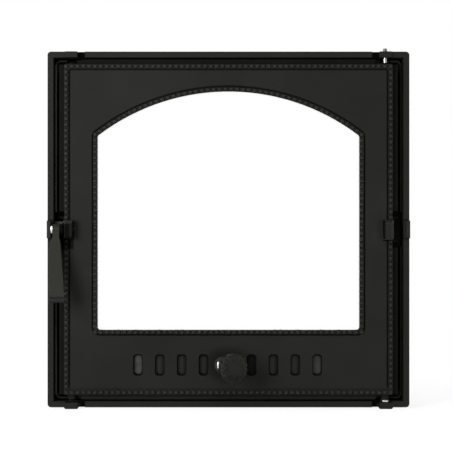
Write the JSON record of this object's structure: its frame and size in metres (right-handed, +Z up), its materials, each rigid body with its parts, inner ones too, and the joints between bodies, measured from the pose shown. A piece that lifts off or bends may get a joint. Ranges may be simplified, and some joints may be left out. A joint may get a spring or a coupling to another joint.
{
  "type": "fireplace glass door",
  "caption": "Square cast iron fireplace door with an arched glass window, beaded edges, a side latch handle and a sliding air control with a knob, hinged in its frame.",
  "frame": {"origin": "middle of the four fixing holes, on the frame's back face that lies on the fireplace wall", "axes": "+X to the right as seen from the room, +Y back into the fireplace, +Z up; the door's front looks along -Y"},
  "size_m": [0.41, 0.0898, 0.4087],
  "materials": {
    "painted_cast_iron": "black heat paint on a fine sand-cast skin, satin to matt",
    "handle_iron": "black heat paint, smoother where the hand holds it",
    "knob_iron": "black heat paint, fluted",
    "bare_steel": "bright turned steel",
    "plated_steel": "zinc-plated steel",
    "slider_steel": "plain rolled steel sheet, dull",
    "dark_steel": "blackened steel",
    "glass_fibre_rope": "knitted glass fibre rope",
    "glass_fibre_tape": "woven glass fibre tape",
    "ceramic_glass": "clear glass ceramic"
  },
  "bodies": {
    "frame": {"outer_frame": "painted_cast_iron", "hinge_pin_top": "bare_steel", "hinge_pin_bottom": "bare_steel", "hinge_spacer": "bare_steel"},
    "leaf": {"door_leaf": "painted_cast_iron", "outer_beading": "painted_cast_iron", "inner_beading": "painted_cast_iron", "rope_seal": "glass_fibre_rope", "glass_tape": "glass_fibre_tape", "glass_pane": "ceramic_glass", "glass_clips": "plated_steel", "clip_screws": "plated_steel", "slider_guide": "plated_steel", "guide_screws": "plated_steel", "latch_pin": "bare_steel", "latch_washer": "dark_steel", "latch_retainer": "dark_steel"},
    "handle": {"latch_handle": "handle_iron"},
    "air_slider": {"slider_plate": "slider_steel", "control_stud": "bare_steel", "spring_washer": "bare_steel", "rear_nut": "plated_steel", "front_washer": "dark_steel", "front_nut": "bare_steel", "control_knob": "knob_iron"}
  },
  "joints": [
    {"name": "door_swing", "type": "hinge", "parent": "frame", "child": "leaf", "pos_m": [0.178, -0.031, 0], "axis": [0, 0, 1], "range_deg": [0, 120]},
    {"name": "handle_lift", "type": "hinge", "parent": "leaf", "child": "handle", "pos_m": [-0.19365, -0.044, 0], "axis": [-1, 0, 0], "range_deg": [0, 30]},
    {"name": "air_slide", "type": "slide", "parent": "leaf", "child": "air_slider", "axis": [1, 0, 0], "range_m": [0, 0.01238]}
  ]
}
